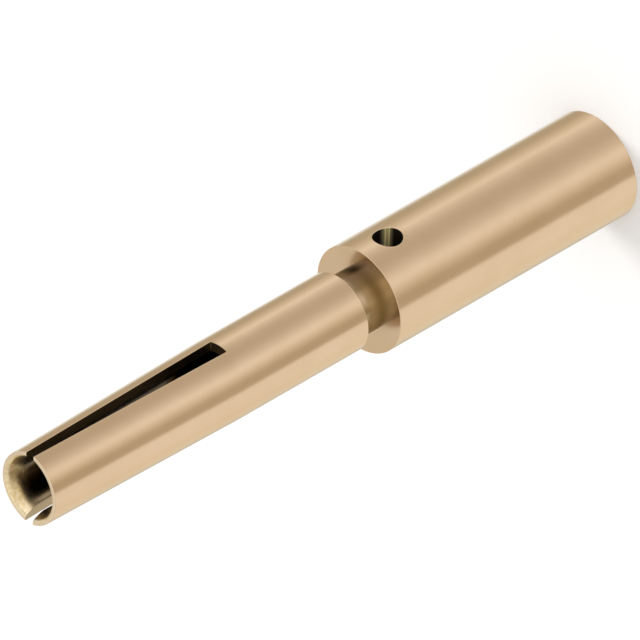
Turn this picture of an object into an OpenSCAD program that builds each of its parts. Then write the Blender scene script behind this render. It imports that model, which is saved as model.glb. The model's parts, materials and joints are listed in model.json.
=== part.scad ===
// Crimp socket contact: one turned, bored and sawn piece, standing on its wire end.
// Z is the axis, the pin enters from the top, the inspection hole faces -Y.

/* [Wire end] */
// Outside diameter of the barrel that is crimped onto the wire
crimp_od = 3.8; // [3.4:0.1:4.4]
// Length of that barrel, from the wire end to the groove
crimp_len = 10.8; // [9:0.2:13]
// Diameter of the bore for the stripped wire
wire_bore_d = 2.25; // [1.8:0.05:2.4]
// Bevel where the wire goes in
wire_entry = 0.25; // [0.1:0.05:0.35]
// Diameter of the inspection hole
view_hole_d = 1; // [0.6:0.1:1.2]
// Middle of the inspection hole, measured from the groove
view_hole_in = 1.25; // [1.1:0.05:1.6]

/* [Groove] */
// Diameter left at the bottom of the groove
groove_d = 2.2; // [1.8:0.1:2.4]
// Width of the groove, where a retaining clip can sit
groove_w = 0.95; // [0.6:0.05:1.4]

/* [Socket end] */
// Outside diameter of the socket barrel
socket_od = 2.8; // [2.6:0.05:3.2]
// Length of the socket barrel as turned, before the tines are closed in
socket_len = 13.8; // [13:0.2:16]
// Diameter of the bore for the pin, as drilled
pin_bore_d = 2.1; // [1.6:0.05:2.2]
// Depth of that bore at its full diameter
pin_bore_depth = 10.6; // [9.8:0.2:11]
// How far the cone that leads the pin in widens the bore on each side
lead_in = 0.23; // [0.1:0.01:0.3]
// Depth of that cone
lead_in_depth = 0.42; // [0.2:0.01:0.6]

/* [Slot] */
// Width of the saw cut that parts the two tines
slot_w = 0.73; // [0.7:0.01:0.9]
// Length of the saw cut
slot_len = 8.4; // [7:0.2:9.2]
// How far each tine tip is closed in toward the other
tine_in = 0.2; // [0.05:0.01:0.3]

/* [Hidden] */
$fn = 96;

// How far a cutting shape runs past what it cuts
past = 0.5;
reach = crimp_od;
socket_z = crimp_len + groove_w;
total_len = socket_z + socket_len;
wire_r = wire_bore_d / 2;
pin_r = pin_bore_d / 2;
drill_half_angle = 59;
view_hole_z = crimp_len - view_hole_in;
view_hole_past = 0.05;
wire_bore_z = view_hole_z + view_hole_d / 2 + view_hole_past;
wire_tip_z = wire_bore_z + wire_r / tan(drill_half_angle);
pin_bore_z = total_len - pin_bore_depth;
pin_tip_z = pin_bore_z - pin_r / tan(drill_half_angle);
slot_z = total_len - slot_len;
// Each tine bends just above the bottom of the saw cut
bend_z = slot_z + 0.1;
tine_len = total_len - bend_z;
tine_angle = atan(tine_in / tine_len);
// The tines are shaped one side at a time, from inside the narrow end of the slot outward
side_x = (slot_w / 2 - tine_in) / 2;

// Outside of the piece as turned, a little long at the socket end
module turned_outside() {
    rotate_extrude()
        polygon([
            [0, 0],
            [crimp_od / 2, 0],
            [crimp_od / 2, crimp_len],
            [groove_d / 2, crimp_len],
            [groove_d / 2, socket_z],
            [socket_od / 2, socket_z],
            [socket_od / 2, total_len + past],
            [0, total_len + past]
        ]);
}

// Bore for the wire, with its bevel and drill point
module wire_bore() {
    rotate_extrude()
        polygon([
            [0, -past],
            [wire_r + wire_entry + past, -past],
            [wire_r, wire_entry],
            [wire_r, wire_bore_z],
            [0, wire_tip_z]
        ]);
}

// Bore for the pin as drilled, with its drill point
module pin_bore_straight() {
    rotate_extrude()
        polygon([
            [0, pin_tip_z],
            [pin_r, pin_bore_z],
            [pin_r, total_len + past],
            [0, total_len + past]
        ]);
}

// The space on the +X side where a tine is shaped
module side_space() {
    translate([side_x, -reach, bend_z - past])
        cube([reach, 2 * reach, tine_len + 3 * past]);
}

// Turns what is drawn on the axis, with Z = 0 at the bend, to the lean of the +X tine
module leaning() {
    translate([0, 0, bend_z])
        rotate([0, -tine_angle, 0])
            children();
}

// All of the +X side that lies outside a leaning round bar
module outside_bar(radius, length) {
    difference() {
        side_space();
        leaning()
            translate([0, 0, -2 * past])
                cylinder(r = radius, h = length + 2 * past);
    }
}

// Cone at the mouth of the +X tine, from inside the bore to past the mouth
module lead_in_side() {
    intersection() {
        side_space();
        leaning()
            translate([0, 0, tine_len - 2 * lead_in_depth])
                cylinder(r1 = pin_r - lead_in, r2 = pin_r + 2 * lead_in, h = 3 * lead_in_depth);
    }
}

// Bore for the pin with its walls leaning in along the tines
module pin_bore() {
    difference() {
        pin_bore_straight();
        outside_bar(pin_r, tine_len + 3 * past);
        mirror([1, 0, 0])
            outside_bar(pin_r, tine_len + 3 * past);
    }
}

// Saw cut across the barrel, closed to a taper with the tines
module slot() {
    lean = (total_len + 2 * past - slot_z) * tan(tine_angle);
    rotate([90, 0, 0])
        linear_extrude(height = 2 * reach, center = true)
            polygon([
                [-slot_w / 2, slot_z],
                [slot_w / 2, slot_z],
                [slot_w / 2 - lean, total_len + 2 * past],
                [lean - slot_w / 2, total_len + 2 * past]
            ]);
}

// Inspection hole, through the front wall only
module view_hole() {
    translate([0, 0, view_hole_z])
        rotate([90, 0, 0])
            cylinder(d = view_hole_d, h = crimp_od);
}

module socket_contact() {
    color([0.83, 0.69, 0.5])
        difference() {
            turned_outside();
            outside_bar(socket_od / 2, tine_len);
            mirror([1, 0, 0])
                outside_bar(socket_od / 2, tine_len);
            pin_bore();
            lead_in_side();
            mirror([1, 0, 0])
                lead_in_side();
            slot();
            wire_bore();
            view_hole();
        }
}

socket_contact();
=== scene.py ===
"""Looks of a crimp socket contact: one turned, gold-plated piece that stands on its wire end.

Z is the axis, the pin enters from the top and the inspection hole faces -Y. The skin is drawn in
millimetres at the frame's sizes and places, and goes to metres when it is whole.
"""

import json
import math

import bmesh
import bpy
from mathutils import Matrix, Vector


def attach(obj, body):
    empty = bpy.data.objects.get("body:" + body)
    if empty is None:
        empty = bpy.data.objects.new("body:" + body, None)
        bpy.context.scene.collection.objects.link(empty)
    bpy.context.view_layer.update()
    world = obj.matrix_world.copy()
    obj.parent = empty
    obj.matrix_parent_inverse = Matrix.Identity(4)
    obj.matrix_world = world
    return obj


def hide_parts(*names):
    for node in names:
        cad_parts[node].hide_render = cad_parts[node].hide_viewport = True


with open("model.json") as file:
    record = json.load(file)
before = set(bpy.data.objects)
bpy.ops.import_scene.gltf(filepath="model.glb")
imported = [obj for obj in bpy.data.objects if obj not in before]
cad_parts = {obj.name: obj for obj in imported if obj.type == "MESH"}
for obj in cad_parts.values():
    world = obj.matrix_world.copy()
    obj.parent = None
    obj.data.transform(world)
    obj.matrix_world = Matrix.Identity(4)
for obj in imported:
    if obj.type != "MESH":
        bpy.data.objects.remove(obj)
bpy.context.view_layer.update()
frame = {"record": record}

NODE = "socket_contact"
MM = 0.001

# Sizes that the frame states, in millimetres
STATED = {mount["name"]: mount["dims"] for mount in frame["record"]["mounts"]}
CRIMP_R = STATED["crimp_barrel"]["r_mm"]
CRIMP_LEN = STATED["crimp_barrel"]["length_mm"]
SOCKET_R = STATED["socket_barrel"]["r_mm"]
PIN_R = STATED["pin_bore"]["r_mm"]
WIRE_R = STATED["wire_bore"]["r_mm"]

# The other sizes of the part, in millimetres
GROOVE_R = 1.1
GROOVE_W = 0.95
SOCKET_LEN = 13.8
PIN_BORE_DEPTH = 10.6
LEAD_IN = 0.23
LEAD_IN_DEPTH = 0.42
LEAD_IN_BLEND = 0.15
LIP_DEPTH = 0.1
LIP_FLARE = 0.05
SLOT_W = 0.73
SLOT_LEN = 8.4
TINE_IN = 0.2
BEND_ABOVE_SLOT = 0.1
WIRE_ENTRY = 0.25
HOLE_R = 0.5
HOLE_IN = 1.25
HOLE_PAST = 0.05
DRILL_HALF_ANGLE = math.radians(59)

# How wide and in how many steps an outer edge is broken, from which angle on an edge is sharp, and how much
# large faces count in the shading, where 50 is even
EDGE_BREAK = 0.02
EDGE_STEPS = 2
SHARP = math.radians(25)
FLAT_WEIGHT = 100

# Heights, lengths and angles that follow from the sizes
SOCKET_Z = CRIMP_LEN + GROOVE_W
MOUTH_Z = SOCKET_Z + SOCKET_LEN
SLOT_Z = MOUTH_Z - SLOT_LEN
TINE_LEN = SLOT_LEN - BEND_ABOVE_SLOT
TINE_ANGLE = math.atan(TINE_IN / TINE_LEN)
BEND_R = BEND_ABOVE_SLOT / math.tan(TINE_ANGLE / 2)
BEND_LEN = BEND_R * TINE_ANGLE
SLOT_HALF = SLOT_W / 2 * math.cos(TINE_ANGLE) - BEND_ABOVE_SLOT * math.sin(TINE_ANGLE)
PIN_BORE_Z = MOUTH_Z - PIN_BORE_DEPTH
PIN_TIP_Z = PIN_BORE_Z - PIN_R / math.tan(DRILL_HALF_ANGLE)
LEAD_IN_Z = MOUTH_Z - LEAD_IN_DEPTH
LEAD_IN_ANGLE = math.atan((LEAD_IN - LIP_FLARE) / LEAD_IN_DEPTH)
LEAD_IN_ROUND = LEAD_IN_BLEND / math.tan(LEAD_IN_ANGLE / 2)
HOLE_Z = CRIMP_LEN - HOLE_IN
WIRE_BORE_Z = HOLE_Z + HOLE_R + HOLE_PAST
WIRE_TIP_Z = WIRE_BORE_Z + WIRE_R / math.tan(DRILL_HALF_ANGLE)

# Steps of the skin round the axis and along it
SLOT_STEPS = 16
TINE_STEPS = 72
TURN_STEPS = 2 * (SLOT_STEPS + TINE_STEPS)
BEND_STEPS = 4
LEAD_IN_STEPS = 12
LIP_STEPS = 4
ROW_MM = 0.5

# The squares of skin that the inspection hole is cut from: how far they reach from its middle, in how many
# loops they go over to its edge, and the angle of the corner where they start
OUTER_PATCH = 0.75
OUTER_LOOPS = 4
BORE_PATCH = HOLE_R + HOLE_PAST
BORE_LOOPS = 1
PATCH_START = -math.pi * 3 / 4

# Numbers of the finishes, in the order of the materials, and those that meet in broken edges
PLATED, RIM, NECK, BACK, SAWN, BORED, WIRED, DRILLED = range(8)
OUTSIDE = (PLATED, RIM, NECK, BACK, SAWN, DRILLED)

# The photographed view: its angles, how far up the part and above its axis the picture's middle is, how far
# away the camera stands and how far it sees, and its lens
VIEW_AZIMUTH = math.radians(-43.79)
VIEW_ELEVATION = math.radians(35.19)
VIEW_ROLL = math.radians(-119.81)
VIEW_HEIGHT_MM = 12.561
VIEW_UP_MM = 0.07
VIEW_DISTANCE_MM = 692.6
VIEW_REACH_M = 10
LENS_MM = 1215.9
SENSOR_MM = 36

# Colours of the plating outside at its palest and deepest, of the mouth's rim, and of all metal but the
# groove's bottom at grazing angles
PALE_GOLD = (0.768, 0.566, 0.374)
DEEP_GOLD = (0.744, 0.543, 0.35)
RIM_GOLD = (0.93, 0.75, 0.53)
EDGE_TINT = (0.92, 0.95, 0.92)

# Colours of the groove, where painted shade keeps the bottom and upper wall darker than the plating: its
# bottom in the middle, by the shoulder and under the socket, a painted highlight stripe in the middle and
# under the socket, a greyer painted half-shadow on one side, its upper wall, and its bottom at grazing
# angles
GROOVE_SHADE_GOLD = (0.45, 0.365, 0.235)
CORNER_SHADE_GOLD = (0.28, 0.22, 0.11)
SHADE_GOLD = (0.42, 0.31, 0.175)
STRIPE_HIGHLIGHT_GOLD = (0.56, 0.47, 0.315)
STRIPE_HIGHLIGHT_IN_SHADE = (0.57, 0.42, 0.26)
HALF_SHADOW_GOLD = (0.56, 0.43, 0.42)
WALL_SHADE_GOLD = (0.6, 0.53, 0.43)
GROOVE_TINT = (0.74, 0.68, 0.6)

# Colours of the pin bore: painted light near the mouth in its palest and deepest specks, a painted
# highlight beside the saw cut, painted shade on one tine below the lip, painted shade further in, painted
# light beside the saw cut where the mouth's painted light doesn't reach, and the darkest painted shade
# deepest in
MOUTH_LIGHT_PALE = (0.9, 0.74, 0.48)
MOUTH_LIGHT_DEEP = (0.76, 0.59, 0.3)
CUT_HIGHLIGHT_GOLD = (0.92, 0.8, 0.62)
TINE_SHADE_GOLD = (0.21, 0.155, 0.1)
BORE_SHADE_GOLD = (0.22, 0.17, 0.11)
CUT_LIGHT_GOLD = (0.48, 0.375, 0.24)
DEEP_SHADE_GOLD = (0.1, 0.072, 0.047)

# Colours of the sawn faces, darker than the plating as painted shade in the saw cut, of a painted shadow in
# the groove, and of the inspection hole's wall, nearly black as painted shade, with its two painted
# highlight lines
SAWN_SHADE_GOLD = (0.47, 0.36, 0.21)
PAINTED_SHADOW_GOLD = (0.05, 0.038, 0.025)
HOLE_SHADE_GOLD = (0.022, 0.016, 0.01)
LINE_HIGHLIGHT_GOLD = (1, 0.86, 0.46)

# What share of a cut face's colour is left where it drifts to its deepest
DRIFT = 0.88

# Distances from the shoulder at which the groove's painted shade by the shoulder has faded, and at which
# the painted shade under the socket is full
GROOVE_MIDDLE = 0.45
GROOVE_FAR = 0.65

# A painted highlight in a stripe up the groove's bottom: the angle of its middle from -Y toward +X, and how
# far round it is full and reaches to either side
STRIPE_AT = math.radians(-48)
STRIPE_FULL = math.radians(8)
STRIPE_REACH = math.radians(20)

# A painted shadow in the corner of the groove: the angle of its middle from -Y toward +X, how far round it
# is full and reaches to either side, and how far it goes up from the shoulder, in millimetres
PAINTED_SHADOW_AT = math.radians(40)
PAINTED_SHADOW_FULL = math.radians(28)
PAINTED_SHADOW_REACH = math.radians(41)
PAINTED_SHADOW_HEIGHT = 0.62

# A greyer painted half-shadow round the painted shadow: how far round it is full and reaches to either
# side, and its share. The opposite side gets painted shade: from which share of the radius on, and by what
# share at most
HALF_SHADOW_FULL = math.radians(40)
HALF_SHADOW_REACH = math.radians(70)
HALF_SHADOW_SHARE = 0.25
DIM_FROM = 0.65
DIM_SHARE = 0.4

# Depths below the mouth at which the bore's painted light starts to fade, has faded into painted shade, and
# the painted shade is darkest
LIGHT_FADE_FROM = 0.3
LIGHT_FADE_TO = 0.85
DARK_BY = 1.4

# Between which X and Y the mouth has painted shade on one tine
TINE_SHADE_X = (0.1, -0.1)
TINE_SHADE_Y = (0, 0.5)

# How far from the middle of the saw cut the bore has painted light and from where it is as elsewhere, the
# share of the painted highlight colour beside the cut, between which Y the front of the bore begins, and
# how much less deep the mouth's painted light reaches beside the cut and at the front
CUT_FROM = 0.2
CUT_TO = 0.75
CUT_SHARE = 0.4
CUT_SHORT = 0.17
FRONT_Y = (-0.12, -0.6)
FRONT_SHORT = 0.3

# Depths to which the bore is dull and from which it is smooth. The size of the specks in its part with
# painted light and between which values of the noise they form, and the size and height of that part's
# ragged edge
DULL_TO = 0.4
SMOOTH_BY = 0.9
LIT_SPECKS_MM = 0.12
SPECKS = (0.35, 0.65)
RAGGED_MM = 0.18
RAGGED_RANGE = 0.35

# Two painted highlight lines down the wall of the inspection hole: their places across it, their half width
# and the half width of the painted glow round them, in millimetres, and the glow's share
LINES_AT = (-0.07, 0.053)
LINE_HALF = 0.055
GLOW_AT = -0.022
GLOW_HALF = 0.25
GLOW_SHARE = 0.62

# Fine marks round the axis and broad clouds in the plating, in millimetres, and between which values of the
# noise the clouds form
MARK_MM = 0.05
MARK_RUN_MM = 2.0
MARK_HEIGHT_MM = 0.0004
CLOUD_MM = 1.6
CLOUDS = (0.3, 0.7)

# How many finer layers the noise of small things and of clouds has, and the middle of its values
FINE_LAYERS = 2
CLOUD_LAYERS = 3
NOISE_MIDDLE = 0.5

# What a step along a diagonal goes along each axis, and where a Mix node has its two colours and its result
DIAGONAL = math.sqrt(0.5)
MIX_COLOURS = (6, 7)
MIX_RESULT = 2

# Roughness of the faces and how far the fine marks change it. The drill's marks run round the inspection
# hole and spread its reflections along it
PLATED_ROUGHNESS = 0.18
GROOVE_ROUGHNESS = 0.2
CUT_ROUGHNESS = 0.3
MOUTH_ROUGHNESS = 0.32
BORE_ROUGHNESS = 0.18
DRILLED_ROUGHNESS = 0.78
DRILLED_SPREAD = 0.8
MARKS = 0.03

# Tones of the studio
WHITE = (1, 1, 1)
WARM_WHITE = (0.97, 0.925, 0.84)
TAN_PANEL = (0.6, 0.55, 0.46)
BETWEEN = (0.795, 0.76, 0.685)
LIGHT_STRIP = (1.015, 1.015, 1.015)
FRONT_PANEL = (0.585, 0.55, 0.49)
BACK_WALL = (0.85, 0.845, 0.81)
SIDE_FLAG = (0.28, 0.28, 0.28)
BRIGHT_WALL = (1.45, 1.45, 1.45)
TOP_LEFT = (0.68, 0.675, 0.65)
TOP_MIDDLE = (0.74, 0.725, 0.68)
TOP_RIGHT = (0.4, 0.4, 0.4)

# Its low panels and walls, by how far a direction leans to -Y, from -1 to 1, and its top panels, by how far
# it leans to the middle between +X and -Y
LOW_PANELS = [
    (-1, WARM_WHITE), (-0.8, WARM_WHITE), (-0.6, WHITE), (-0.21, WHITE), (-0.135, TAN_PANEL),
    (0.13, TAN_PANEL), (0.31, BETWEEN), (0.5, LIGHT_STRIP), (0.6, LIGHT_STRIP), (0.85, FRONT_PANEL),
]
WALL_PANELS = [
    (-1, BACK_WALL), (-0.5, BACK_WALL), (0.3, WHITE), (0.7, WHITE), (0.95, BRIGHT_WALL),
]
TOP_PANELS = [
    (-0.8, TOP_LEFT), (-0.5, BACK_WALL), (-0.25, TOP_MIDDLE), (0.2, TOP_MIDDLE), (0.6, TOP_RIGHT),
]

# Between which directions to +X the low panels draw together, and by what share. Between which directions
# to +X and +Y their back corner turns tan
SQUEEZED_AT = (0.45, 0.72)
SIDE_SQUEEZE = 0.24
CORNER_X = (0, 0.55)
CORNER_Y = (0.45, 0.65)

# How far up a direction points, from -1 to 1, where the ring of tan and white walls follows the low panels,
# the walls follow the ring, the top panels the walls and the white sky the top panels
RING_RISE = (-0.45, -0.33)
WALL_RISE = (-0.12, 0.08)
TOP_RISE = (0.45, 0.55)
SKY_RISE = (0.62, 0.74)

# How near the diagonals the ring turns white, how near the one between +X and -Y the walls carry dark
# flags, and how far up those end
RING_CORNERS = (0.02, 0.16)
FLAG_SIDES = (0.72, 0.96)
FLAG_TOP = (0.35, 0.12)

# How white the floor is and half its side in metres, and the key light: its strength, how widely it spreads
# and where it comes from
FLOOR_WHITE = 0.96
FLOOR_HALF = 5.0
KEY_STRENGTH = 1.15
KEY_SPREAD = math.radians(25)
KEY_FROM = Vector((0.75, -0.25, 0.61))


class Skin:
    """Points and faces of a surface, each face with the number of its material."""

    def __init__(self):
        self.points = []
        self.faces = []
        self.zones = []

    def row(self, points):
        """Adds points and returns their numbers."""
        first = len(self.points)
        self.points.extend(points)
        return list(range(first, len(self.points)))

    def face(self, corners, zone):
        """Adds a face by the numbers of its corners."""
        self.faces.append(corners)
        self.zones.append(zone)

    def strip(self, one, other, zone):
        """Quads between two open rows of equal length."""
        for i in range(len(one) - 1):
            self.face((one[i], one[i + 1], other[i + 1], other[i]), zone)

    def band(self, one, other, zone):
        """Quads between two closed rings of equal length."""
        self.strip(one + one[:1], other + other[:1], zone)

    def fan(self, ring, tip, zone):
        """Triangles from a closed ring to one point."""
        number = self.row([tip])[0]
        for i, corner in enumerate(ring):
            self.face((corner, ring[(i + 1) % len(ring)], number), zone)


def spread(start, end, count):
    """Evenly spaced values from start, leaving out end."""
    return [start + (end - start) * i / count for i in range(count)]


def heights(start, end):
    """Row heights from start to end, both kept, about ROW_MM apart."""
    count = max(1, round(abs(end - start) / ROW_MM))
    return spread(start, end, count) + [end]


def around(radius, angle, z):
    """A point at an angle from -Y, turning toward +X."""
    return (radius * math.sin(angle), -radius * math.cos(angle), z)


def slotted_angles(radius):
    """Angles of one turn, with a point at each edge of the saw cut."""
    half = math.asin(SLOT_HALF / radius)
    turn = []
    for side in (0, math.pi):
        turn += spread(side - half, side + half, SLOT_STEPS)
        turn += spread(side + half, side + math.pi - half, TINE_STEPS)
    return turn


def holed_angles(radius, patch):
    """Angles of one turn that starts with the columns of the inspection hole's square."""
    half = math.asin(patch / radius)
    rest = TURN_STEPS - SLOT_STEPS
    return spread(-half, half, SLOT_STEPS) + spread(half, 2 * math.pi - half, rest)


def ring(skin, radius, angles, z):
    """One row of skin round the axis."""
    return skin.row([around(radius, angle, z) for angle in angles])


def tube(skin, radius, angles, start, end, zone):
    """Full turns of skin from one height to another. Returns the first and last ring."""
    rings = [ring(skin, radius, angles, z) for z in heights(start, end)]
    for one, other in zip(rings, rings[1:]):
        skin.band(one, other, zone)
    return rings[0], rings[-1]


def lean(point):
    """A point of a straight tine, moved to where the closed-in tine has it."""
    x, y, z = point
    side = math.copysign(1, x)
    up = max(0, z - SLOT_Z)
    turn = min(up, BEND_LEN) / BEND_R
    beyond = max(0, up - BEND_LEN)
    inward = BEND_R * (1 - math.cos(turn)) + beyond * math.sin(turn)
    along = BEND_R * math.sin(turn) + beyond * math.cos(turn)
    out = abs(x) * math.cos(turn) - inward
    return (side * out, y, min(z, SLOT_Z) + along + abs(x) * math.sin(turn))


def tine_row(skin, side, radius, z):
    """One row of skin across a tine, from one edge of the saw cut to the other."""
    half = math.asin(SLOT_HALF / radius)
    angles = spread(half, math.pi - half, TINE_STEPS) + [math.pi - half]
    return skin.row([lean(around(radius, side + angle, z)) for angle in angles])


def bore_radius(z):
    """Radius of the pin bore, which opens in a cone at the mouth, rounded at both of its ends."""
    up = z - (LEAD_IN_Z - LEAD_IN_BLEND)
    arc_end = LEAD_IN_ROUND * math.sin(LEAD_IN_ANGLE)
    if up > arc_end:
        lip = max(0, z - (MOUTH_Z - LIP_DEPTH)) / LIP_DEPTH
        return PIN_R + (z - LEAD_IN_Z) * math.tan(LEAD_IN_ANGLE) + LIP_FLARE * lip**2
    return PIN_R + LEAD_IN_ROUND - math.sqrt(LEAD_IN_ROUND**2 - max(0, up)**2)


def arc_of(closed, first, count):
    """Part of a closed ring, with both of its ends."""
    return [closed[(first + i) % len(closed)] for i in range(count + 1)]


def tine(skin, number, outer_ring, bore_ring):
    """One spring tine, on the two rings at the bottom of the saw cut."""
    first = SLOT_STEPS + number * (SLOT_STEPS + TINE_STEPS)
    side = number * math.pi
    outer = [arc_of(outer_ring, first, TINE_STEPS)]
    inner = [arc_of(bore_ring, first, TINE_STEPS)]
    rounded_from = LEAD_IN_Z - LEAD_IN_BLEND
    lip_from = MOUTH_Z - LIP_DEPTH
    levels = spread(SLOT_Z, SLOT_Z + BEND_LEN, BEND_STEPS)[1:]
    levels += heights(SLOT_Z + BEND_LEN, rounded_from)
    levels += spread(rounded_from, lip_from, LEAD_IN_STEPS)[1:]
    levels += spread(lip_from, MOUTH_Z, LIP_STEPS) + [MOUTH_Z]
    for z in levels:
        outer.append(tine_row(skin, side, SOCKET_R, z))
        inner.append(tine_row(skin, side, bore_radius(z), z))
    for j in range(len(outer) - 1):
        skin.strip(outer[j], outer[j + 1], PLATED)
        skin.strip(inner[j], inner[j + 1], BORED)
        for edge in (0, -1):
            corners = (outer[j][edge], outer[j + 1][edge], inner[j + 1][edge], inner[j][edge])
            skin.face(corners, SAWN)
    skin.strip(outer[-1], inner[-1], RIM)


def socket_end(skin):
    """Socket barrel, its bore, the saw cut and the tines. Returns the barrel's lowest ring."""
    outer_angles = slotted_angles(SOCKET_R)
    bore_angles = slotted_angles(PIN_R)
    foot, outer_top = tube(skin, SOCKET_R, outer_angles, SOCKET_Z, SLOT_Z, PLATED)
    bore_foot, bore_top = tube(skin, PIN_R, bore_angles, PIN_BORE_Z, SLOT_Z, BORED)
    skin.fan(bore_foot, (0, 0, PIN_TIP_Z), BORED)
    for number in (0, 1):
        first = number * (SLOT_STEPS + TINE_STEPS)
        cut = [arc_of(closed, first, SLOT_STEPS) for closed in (outer_top, bore_top)]
        skin.strip(cut[0], cut[1], SAWN)
        tine(skin, number, outer_top, bore_top)
    return foot


def hole_patch(skin, radius, rows, loops, zone):
    """Skin between a square of the barrel's grid and the inspection hole. Returns the hole's edge."""
    last = len(rows) - 1
    border = rows[0][:SLOT_STEPS]
    border += [row[SLOT_STEPS] for row in rows[:last]]
    border += rows[last][SLOT_STEPS:0:-1]
    border += [row[0] for row in rows[last:0:-1]]
    count = len(border)
    before = border
    for loop in range(1, loops + 1):
        share = loop / loops
        points = []
        for i, number in enumerate(border):
            angle = PATCH_START + 2 * math.pi * i / count
            x0, _, z0 = skin.points[number]
            x = x0 + (HOLE_R * math.cos(angle) - x0) * share
            z = z0 + (HOLE_Z + HOLE_R * math.sin(angle) - z0) * share
            points.append((x, -math.sqrt(radius * radius - x * x), z))
        after = skin.row(points)
        skin.band(before, after, zone)
        before = after
    return before


def holed_tube(skin, radius, patch, start, end, loops, zone):
    """Full turns of skin with the inspection hole in them. Returns both end rings and the hole's edge."""
    angles = holed_angles(radius, patch)
    low, high = HOLE_Z - patch, HOLE_Z + patch
    below, under = tube(skin, radius, angles, start, low, zone)
    rows = [under]
    # The rows between have no points inside the square
    for z in spread(low, high, SLOT_STEPS)[1:]:
        part = ring(skin, radius, [angles[0]] + angles[SLOT_STEPS:], z)
        rows.append(part[:1] + [None] * (SLOT_STEPS - 1) + part[1:])
    if high < end:
        over, above = tube(skin, radius, angles, high, end, zone)
    else:
        over = above = ring(skin, radius, angles, high)
    rows.append(over)
    for one, other in zip(rows, rows[1:]):
        skin.strip(one[SLOT_STEPS:] + one[:1], other[SLOT_STEPS:] + other[:1], zone)
    return below, above, hole_patch(skin, radius, rows, loops, zone)


def wire_end(skin):
    """Crimp barrel with its bore and the inspection hole. Returns the barrel's highest ring."""
    foot, top, hole = holed_tube(skin, CRIMP_R, OUTER_PATCH, 0, CRIMP_LEN, OUTER_LOOPS, PLATED)
    entry, bore_top, bore_hole = holed_tube(
        skin, WIRE_R, BORE_PATCH, WIRE_ENTRY, WIRE_BORE_Z, BORE_LOOPS, WIRED
    )
    bevel = ring(skin, WIRE_R + WIRE_ENTRY, holed_angles(WIRE_R, BORE_PATCH), 0)
    skin.band(foot, bevel, PLATED)
    skin.band(bevel, entry, PLATED)
    skin.fan(bore_top, (0, 0, WIRE_TIP_Z), WIRED)
    skin.band(hole, bore_hole, DRILLED)
    return top


def contact_skin():
    """Both ends of the part, joined by the groove between them."""
    skin = Skin()
    socket_foot = socket_end(skin)
    shoulder = wire_end(skin)
    angles = slotted_angles(SOCKET_R)
    neck_foot, neck_top = tube(skin, GROOVE_R, angles, CRIMP_LEN, SOCKET_Z, NECK)
    skin.band(socket_foot, neck_top, BACK)
    skin.band(neck_foot, shoulder, PLATED)
    return skin


def whole_mesh(skin, materials):
    """The skin as one closed mesh in metres, with its edges broken and smoothly shaded."""
    mesh = bpy.data.meshes.new("contact_skin")
    mesh.from_pydata(skin.points, [], skin.faces)
    for material in materials:
        mesh.materials.append(material)
    mesh.polygons.foreach_set("material_index", skin.zones)
    mesh.polygons.foreach_set("use_smooth", [True] * len(skin.faces))
    form = bmesh.new()
    form.from_mesh(mesh)
    bmesh.ops.recalc_face_normals(form, faces=form.faces)
    broken = form.edges.layers.float.new("bevel_weight_edge")
    for edge in form.edges:
        angle = edge.calc_face_angle_signed()
        outside = all(face.material_index in OUTSIDE for face in edge.link_faces)
        edge[broken] = 1 if angle > SHARP and outside else 0
        edge.smooth = abs(angle) < SHARP or edge[broken] == 1
    form.to_mesh(mesh)
    form.free()
    draft = bpy.data.objects.new("contact_draft", mesh)
    bpy.context.scene.collection.objects.link(draft)
    bevel = draft.modifiers.new("edge_break", "BEVEL")
    bevel.width = EDGE_BREAK
    bevel.segments = EDGE_STEPS
    bevel.limit_method = "WEIGHT"
    bevel.miter_outer = "MITER_ARC"
    weighted = draft.modifiers.new("flat_faces", "WEIGHTED_NORMAL")
    weighted.weight = FLAT_WEIGHT
    weighted.keep_sharp = True
    shapes = bpy.context.evaluated_depsgraph_get()
    made = bpy.data.meshes.new_from_object(
        draft.evaluated_get(shapes), preserve_all_data_layers=True, depsgraph=shapes
    )
    bpy.data.objects.remove(draft)
    made.transform(Matrix.Scale(MM, 4))
    return made


def add_node(tree, kind, **values):
    """A new node with the given settings."""
    node = tree.nodes.new(kind)
    for name, value in values.items():
        setattr(node, name, value)
    return node


def eased(tree, value, none_at, full_at):
    """A share that eases from 0 at one value to 1 at another, which may be higher or lower."""
    share = add_node(tree, "ShaderNodeMapRange", interpolation_type="SMOOTHSTEP")
    share.inputs["From Min"].default_value = none_at
    share.inputs["From Max"].default_value = full_at
    tree.links.new(value, share.inputs["Value"])
    return share.outputs[0]


def arithmetic(tree, operation, *terms):
    """A sum, product or the like of outputs and numbers."""
    node = add_node(tree, "ShaderNodeMath", operation=operation)
    for socket, term in zip(node.inputs, terms):
        if isinstance(term, (int, float)):
            socket.default_value = term
        else:
            tree.links.new(term, socket)
    return node.outputs[0]


def blended(tree, share, one, other):
    """A colour that goes from one, where share is 0, to the other. Each is a colour or an output."""
    node = add_node(tree, "ShaderNodeMix", data_type="RGBA")
    tree.links.new(share, node.inputs["Factor"])
    for number, colour in zip(MIX_COLOURS, (one, other)):
        if isinstance(colour, tuple):
            node.inputs[number].default_value = (*colour, 1)
        else:
            tree.links.new(colour, node.inputs[number])
    return node.outputs[MIX_RESULT]


def noise(tree, across_mm, along_mm, layers):
    """Noise with the given grain across the axis and along it, from 0 to 1."""
    where = add_node(tree, "ShaderNodeTexCoord")
    grain = add_node(tree, "ShaderNodeMapping")
    across = 1 / (across_mm * MM)
    grain.inputs["Scale"].default_value = (across, across, 1 / (along_mm * MM))
    tree.links.new(where.outputs["Object"], grain.inputs["Vector"])
    texture = add_node(tree, "ShaderNodeTexNoise")
    texture.inputs["Scale"].default_value = 1
    texture.inputs["Detail"].default_value = layers
    tree.links.new(grain.outputs[0], texture.inputs["Vector"])
    return texture.outputs[0]


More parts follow.
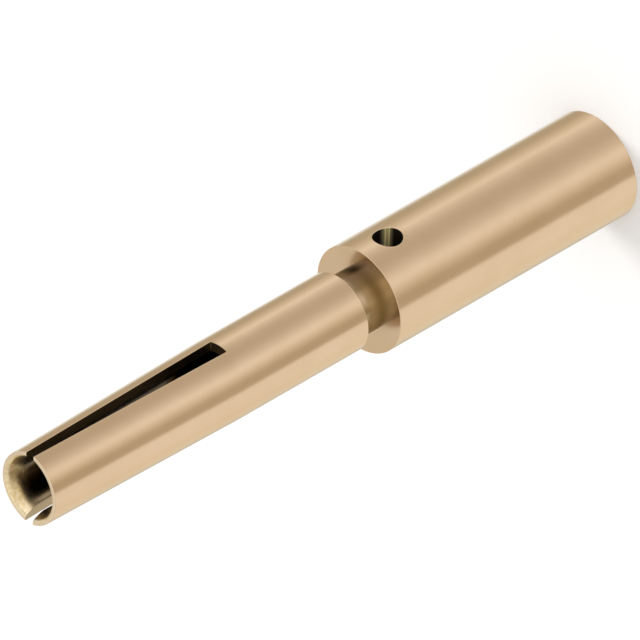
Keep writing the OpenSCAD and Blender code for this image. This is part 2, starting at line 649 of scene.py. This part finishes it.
def metal_material(name, roughness):
    """A turned metal with no colour yet, whose roughness is a number or a function that works it out.

    Returns the material, its node tree and its shader.
    """
    material = bpy.data.materials.new(name)
    material.use_nodes = True
    tree = material.node_tree
    shader = tree.nodes["Principled BSDF"]
    shader.inputs["Metallic"].default_value = 1
    shader.inputs["Specular Tint"].default_value = (*EDGE_TINT, 1)
    marks = noise(tree, MARK_RUN_MM, MARK_MM, FINE_LAYERS)
    change = arithmetic(tree, "MULTIPLY", arithmetic(tree, "SUBTRACT", marks, NOISE_MIDDLE), 2 * MARKS)
    even = roughness(tree) if callable(roughness) else roughness
    tree.links.new(arithmetic(tree, "ADD", change, even), shader.inputs["Roughness"])
    bump = add_node(tree, "ShaderNodeBump")
    bump.inputs["Distance"].default_value = MARK_HEIGHT_MM * MM
    tree.links.new(marks, bump.inputs["Height"])
    tree.links.new(bump.outputs[0], shader.inputs["Normal"])
    return material, tree, shader


def clouded_material(name, pale, deep, roughness):
    """A metal whose colour drifts in clouds between its palest and its deepest."""
    material, tree, shader = metal_material(name, roughness)
    clouds = eased(tree, noise(tree, CLOUD_MM, CLOUD_MM, CLOUD_LAYERS), *CLOUDS)
    tree.links.new(blended(tree, clouds, pale, deep), shader.inputs["Base Color"])
    return material


def cut_material(name, colour, roughness):
    """A metal of one colour that drifts a little darker in clouds, for the rim and for painted shade."""
    return clouded_material(name, colour, tuple(DRIFT * part for part in colour), roughness)


def place(tree):
    """The three coordinates of a point of the part, in millimetres."""
    where = add_node(tree, "ShaderNodeTexCoord")
    split = add_node(tree, "ShaderNodeSeparateXYZ")
    tree.links.new(where.outputs["Object"], split.inputs[0])
    return [arithmetic(tree, "MULTIPLY", split.outputs[name], 1 / MM) for name in "XYZ"]


def toward_angle(tree, x, y, angle):
    """How far a place leans to an angle from -Y, turning toward +X."""
    to_side = arithmetic(tree, "MULTIPLY", x, math.sin(angle))
    return arithmetic(tree, "SUBTRACT", to_side, arithmetic(tree, "MULTIPLY", y, math.cos(angle)))


def groove_share(tree, toward, reach, full):
    """A share that is 1 as far round the groove's bottom as full, and eases to 0 at its reach."""
    return eased(tree, toward, GROOVE_R * math.cos(reach), GROOVE_R * math.cos(full))


def groove_material():
    """The groove's bottom, with painted shade at both ends and sides, a painted highlight and a painted
    shadow.
    """
    material, tree, shader = metal_material("groove_plating", GROOVE_ROUGHNESS)
    shader.inputs["Specular Tint"].default_value = (*GROOVE_TINT, 1)
    x, y, height = place(tree)
    off = arithmetic(tree, "SUBTRACT", height, CRIMP_LEN)
    # A painted highlight stripe, then painted shade by the shoulder and under the socket
    toward_stripe = toward_angle(tree, x, y, STRIPE_AT)
    stripe = groove_share(tree, toward_stripe, STRIPE_REACH, STRIPE_FULL)
    middle = blended(tree, stripe, GROOVE_SHADE_GOLD, STRIPE_HIGHLIGHT_GOLD)
    shade = blended(tree, stripe, SHADE_GOLD, STRIPE_HIGHLIGHT_IN_SHADE)
    colour = blended(tree, eased(tree, off, 0, GROOVE_MIDDLE), CORNER_SHADE_GOLD, middle)
    colour = blended(tree, eased(tree, off, GROOVE_MIDDLE, GROOVE_FAR), colour, shade)
    # A painted shadow on one side of the corner, a greyer painted half-shadow round it, and painted shade
    # opposite
    toward_shadow = toward_angle(tree, x, y, PAINTED_SHADOW_AT)
    half_shadow = groove_share(tree, toward_shadow, HALF_SHADOW_REACH, HALF_SHADOW_FULL)
    colour = blended(tree, arithmetic(tree, "MULTIPLY", half_shadow, HALF_SHADOW_SHARE), colour, HALF_SHADOW_GOLD)
    beside = groove_share(tree, toward_shadow, PAINTED_SHADOW_REACH, PAINTED_SHADOW_FULL)
    shadowed = arithmetic(tree, "MULTIPLY", beside, eased(tree, off, PAINTED_SHADOW_HEIGHT, 0))
    opposite = eased(tree, toward_shadow, -GROOVE_R * DIM_FROM, -GROOVE_R)
    share = arithmetic(tree, "MAXIMUM", shadowed, arithmetic(tree, "MULTIPLY", opposite, DIM_SHARE))
    tree.links.new(blended(tree, share, colour, PAINTED_SHADOW_GOLD), shader.inputs["Base Color"])
    return material


def bore_roughness(tree):
    """The bore is smooth, but duller at the mouth."""
    dull = eased(tree, place(tree)[2], MOUTH_Z - SMOOTH_BY, MOUTH_Z - DULL_TO)
    rise = arithmetic(tree, "MULTIPLY", dull, MOUTH_ROUGHNESS - BORE_ROUGHNESS)
    return arithmetic(tree, "ADD", rise, BORE_ROUGHNESS)


def bore_material():
    """The pin bore: painted light at the mouth and by the saw cut, painted shade further in and on one
    tine.
    """
    material, tree, shader = metal_material("bore_plating", bore_roughness)
    x, y, height = place(tree)
    # Painted shade that deepens further into the bore
    out_of_deep_shade = eased(tree, height, MOUTH_Z - DARK_BY, MOUTH_Z - LIGHT_FADE_TO)
    # Painted light beside the saw cut
    beside = eased(tree, arithmetic(tree, "ABSOLUTE", x), CUT_TO, CUT_FROM)
    # How deep the painted light from the mouth reaches: less beside the cut and at the front, with a ragged
    # edge
    ragged = noise(tree, RAGGED_MM, RAGGED_MM, FINE_LAYERS)
    ragged = arithmetic(tree, "SUBTRACT", ragged, NOISE_MIDDLE)
    in_front = eased(tree, y, *FRONT_Y)
    light_reach = arithmetic(tree, "SUBTRACT", height, arithmetic(tree, "MULTIPLY", beside, CUT_SHORT))
    light_reach = arithmetic(tree, "SUBTRACT", light_reach, arithmetic(tree, "MULTIPLY", in_front, FRONT_SHORT))
    light_reach = arithmetic(tree, "ADD", light_reach, arithmetic(tree, "MULTIPLY", ragged, RAGGED_RANGE))
    mouth_light = eased(tree, light_reach, MOUTH_Z - LIGHT_FADE_TO, MOUTH_Z - LIGHT_FADE_FROM)
    specks = eased(tree, noise(tree, LIT_SPECKS_MM, LIT_SPECKS_MM, FINE_LAYERS), *SPECKS)
    # The painted light near the mouth, in specks, with a painted highlight beside the saw cut
    bright = blended(tree, specks, MOUTH_LIGHT_PALE, MOUTH_LIGHT_DEEP)
    bright = blended(tree, arithmetic(tree, "MULTIPLY", beside, CUT_SHARE), bright, CUT_HIGHLIGHT_GOLD)
    # Painted shade on one tine toward +Y, below the lip
    tine_shade = arithmetic(tree, "MULTIPLY", eased(tree, x, *TINE_SHADE_X), eased(tree, y, *TINE_SHADE_Y))
    lipped = eased(tree, height, MOUTH_Z, MOUTH_Z - LIP_DEPTH)
    bright = blended(tree, arithmetic(tree, "MULTIPLY", tine_shade, lipped), bright, TINE_SHADE_GOLD)
    inner = blended(tree, out_of_deep_shade, DEEP_SHADE_GOLD, BORE_SHADE_GOLD)
    colour = blended(tree, mouth_light, blended(tree, beside, inner, CUT_LIGHT_GOLD), bright)
    tree.links.new(colour, shader.inputs["Base Color"])
    return material


def near(tree, value, middle, half):
    """A share that is 1 at the middle and eases to 0 at half on either side."""
    off = arithmetic(tree, "ABSOLUTE", arithmetic(tree, "SUBTRACT", value, middle))
    return eased(tree, off, half, 0)


def drilled_material():
    """The wall of the inspection hole, nearly black as painted shade, with two painted highlight lines
    along it.
    """
    material, tree, shader = metal_material("drilled_wall", DRILLED_ROUGHNESS)
    shader.inputs["Anisotropic"].default_value = DRILLED_SPREAD
    along = add_node(tree, "ShaderNodeCombineXYZ")
    along.inputs["Y"].default_value = 1
    tree.links.new(along.outputs[0], shader.inputs["Tangent"])
    x, _, z = place(tree)
    slant = arithmetic(tree, "ADD", x, arithmetic(tree, "SUBTRACT", z, HOLE_Z))
    across = arithmetic(tree, "MULTIPLY", slant, -DIAGONAL)
    # Painted highlight lines and a painted glow on a wall that is nearly black as painted shade
    glow = arithmetic(tree, "MULTIPLY", near(tree, across, GLOW_AT, GLOW_HALF), GLOW_SHARE)
    for line in LINES_AT:
        glow = arithmetic(tree, "MAXIMUM", glow, near(tree, across, line, LINE_HALF))
    tree.links.new(blended(tree, glow, HOLE_SHADE_GOLD, LINE_HIGHLIGHT_GOLD), shader.inputs["Base Color"])
    return material


def panels(tree, aim, stops):
    """A colour that follows an aim from -1 to 1 through the stops."""
    ramp = add_node(tree, "ShaderNodeValToRGB")
    share = arithmetic(tree, "ADD", arithmetic(tree, "MULTIPLY", aim, 0.5), 0.5)
    tree.links.new(share, ramp.inputs[0])
    elements = ramp.color_ramp.elements
    for _ in stops[2:]:
        elements.new(1)
    for element, (position, colour) in zip(elements, stops):
        element.position = (position + 1) / 2
        element.color = (*colour, 1)
    return ramp.outputs["Color"]


def low_tone(tree, x, y, to_front):
    """The low panels, drawn together toward +X, with a tan back corner."""
    narrower = arithmetic(tree, "MULTIPLY", eased(tree, x, *SQUEEZED_AT), -SIDE_SQUEEZE)
    squeezed = arithmetic(tree, "MULTIPLY", to_front, arithmetic(tree, "ADD", narrower, 1))
    behind = arithmetic(tree, "MULTIPLY", eased(tree, x, *CORNER_X), eased(tree, y, *CORNER_Y))
    return blended(tree, behind, panels(tree, squeezed, LOW_PANELS), TAN_PANEL)


def ring_tone(tree, x, y, level):
    """The ring above them, tan but for its white corners at the diagonals."""
    corner = arithmetic(tree, "DIVIDE", arithmetic(tree, "MULTIPLY", x, y), level)
    corner = arithmetic(tree, "MULTIPLY", corner, corner)
    return blended(tree, eased(tree, corner, *RING_CORNERS), TAN_PANEL, WHITE)


def wall_tone(tree, z, to_front, across, level):
    """The walls above the ring, with two dark flags."""
    aside = arithmetic(tree, "DIVIDE", arithmetic(tree, "MULTIPLY", across, across), level)
    flagged = arithmetic(tree, "MULTIPLY", eased(tree, aside, *FLAG_SIDES), eased(tree, z, *FLAG_TOP))
    return blended(tree, flagged, panels(tree, to_front, WALL_PANELS), SIDE_FLAG)


def studio_world():
    """A soft white studio: low panels, a ring of tan and white, walls with flags, top panels and sky."""
    world = bpy.data.worlds.new("studio")
    bpy.context.scene.world = world
    world.use_nodes = True
    tree = world.node_tree
    tree.nodes.clear()
    where = add_node(tree, "ShaderNodeTexCoord")
    split = add_node(tree, "ShaderNodeSeparateXYZ")
    tree.links.new(where.outputs["Generated"], split.inputs[0])
    x, y, z = (split.outputs[name] for name in "XYZ")
    to_front = arithmetic(tree, "MULTIPLY", y, -1)
    across = arithmetic(tree, "MULTIPLY", arithmetic(tree, "SUBTRACT", x, y), DIAGONAL)
    level = arithmetic(tree, "SUBTRACT", 1, arithmetic(tree, "MULTIPLY", z, z))
    tone = low_tone(tree, x, y, to_front)
    tone = blended(tree, eased(tree, z, *RING_RISE), tone, ring_tone(tree, x, y, level))
    tone = blended(tree, eased(tree, z, *WALL_RISE), tone, wall_tone(tree, z, to_front, across, level))
    tone = blended(tree, eased(tree, z, *TOP_RISE), tone, panels(tree, across, TOP_PANELS))
    tone = blended(tree, eased(tree, z, *SKY_RISE), tone, WHITE)
    background = add_node(tree, "ShaderNodeBackground")
    tree.links.new(tone, background.inputs["Color"])
    output = add_node(tree, "ShaderNodeOutputWorld")
    tree.links.new(background.outputs[0], output.inputs["Surface"])


def pale_floor():
    """A wide white floor that takes the shadow and stays out of the metal's reflections."""
    mesh = bpy.data.meshes.new("floor")
    sides = ((-1, -1), (1, -1), (1, 1), (-1, 1))
    mesh.from_pydata([(x * FLOOR_HALF, y * FLOOR_HALF, 0) for x, y in sides], [], [(0, 1, 2, 3)])
    floor = bpy.data.objects.new("floor", mesh)
    bpy.context.scene.collection.objects.link(floor)
    floor.visible_glossy = False
    material = bpy.data.materials.new("floor_white")
    material.use_nodes = True
    shader = material.node_tree.nodes["Principled BSDF"]
    shader.inputs["Base Color"].default_value = (FLOOR_WHITE, FLOOR_WHITE, FLOOR_WHITE, 1)
    shader.inputs["Roughness"].default_value = 1
    shader.inputs["Specular IOR Level"].default_value = 0
    mesh.materials.append(material)


def key_light():
    """A soft light from high on one side, for the shadow on the floor."""
    data = bpy.data.lights.new("key", "SUN")
    data.energy = KEY_STRENGTH
    data.angle = KEY_SPREAD
    lamp = bpy.data.objects.new("key", data)
    lamp.rotation_euler = KEY_FROM.to_track_quat("Z", "Y").to_euler()
    lamp.visible_glossy = False
    bpy.context.scene.collection.objects.link(lamp)


def photo_camera():
    """The camera at the photographed angle, rolled so that the axis runs from low left to high right."""
    level_reach = math.cos(VIEW_ELEVATION)
    back = Vector((
        math.sin(VIEW_AZIMUTH) * level_reach,
        -math.cos(VIEW_AZIMUTH) * level_reach,
        math.sin(VIEW_ELEVATION),
    ))
    level = Vector((0, 0, 1)).cross(back).normalized()
    upright = back.cross(level)
    right = level * math.cos(VIEW_ROLL) + upright * math.sin(VIEW_ROLL)
    up = back.cross(right)
    middle = Vector((0, 0, VIEW_HEIGHT_MM)) + up * VIEW_UP_MM
    data = bpy.data.cameras.new("camera")
    data.lens = LENS_MM
    data.sensor_width = SENSOR_MM
    data.clip_end = VIEW_REACH_M
    camera = bpy.data.objects.new("camera", data)
    bpy.context.scene.collection.objects.link(camera)
    turn = Matrix((right, up, back)).transposed().to_4x4()
    camera.matrix_world = Matrix.Translation((middle + back * VIEW_DISTANCE_MM) * MM) @ turn
    bpy.context.scene.camera = camera


def build():
    """The dressed part in its studio."""
    bpy.context.scene.view_settings.view_transform = "Standard"
    metals = (
        clouded_material("gold_plating", PALE_GOLD, DEEP_GOLD, PLATED_ROUGHNESS),
        cut_material("mouth_rim", RIM_GOLD, PLATED_ROUGHNESS),
        groove_material(),
        # The groove's upper wall, darker and greyer than the plating as painted shade under the socket
        cut_material("groove_wall", WALL_SHADE_GOLD, CUT_ROUGHNESS),
        # The sawn faces, darker than the plating as painted shade in the saw cut
        cut_material("sawn_face", SAWN_SHADE_GOLD, CUT_ROUGHNESS),
        bore_material(),
        # The wire bore, dark as painted shade inside it
        cut_material("wire_bore_plating", BORE_SHADE_GOLD, CUT_ROUGHNESS),
        drilled_material(),
    )
    contact = bpy.data.objects.new("contact", whole_mesh(contact_skin(), metals))
    bpy.context.scene.collection.objects.link(contact)
    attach(contact, "root")
    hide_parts(NODE)
    photo_camera()
    studio_world()
    key_light()
    pale_floor()


build()
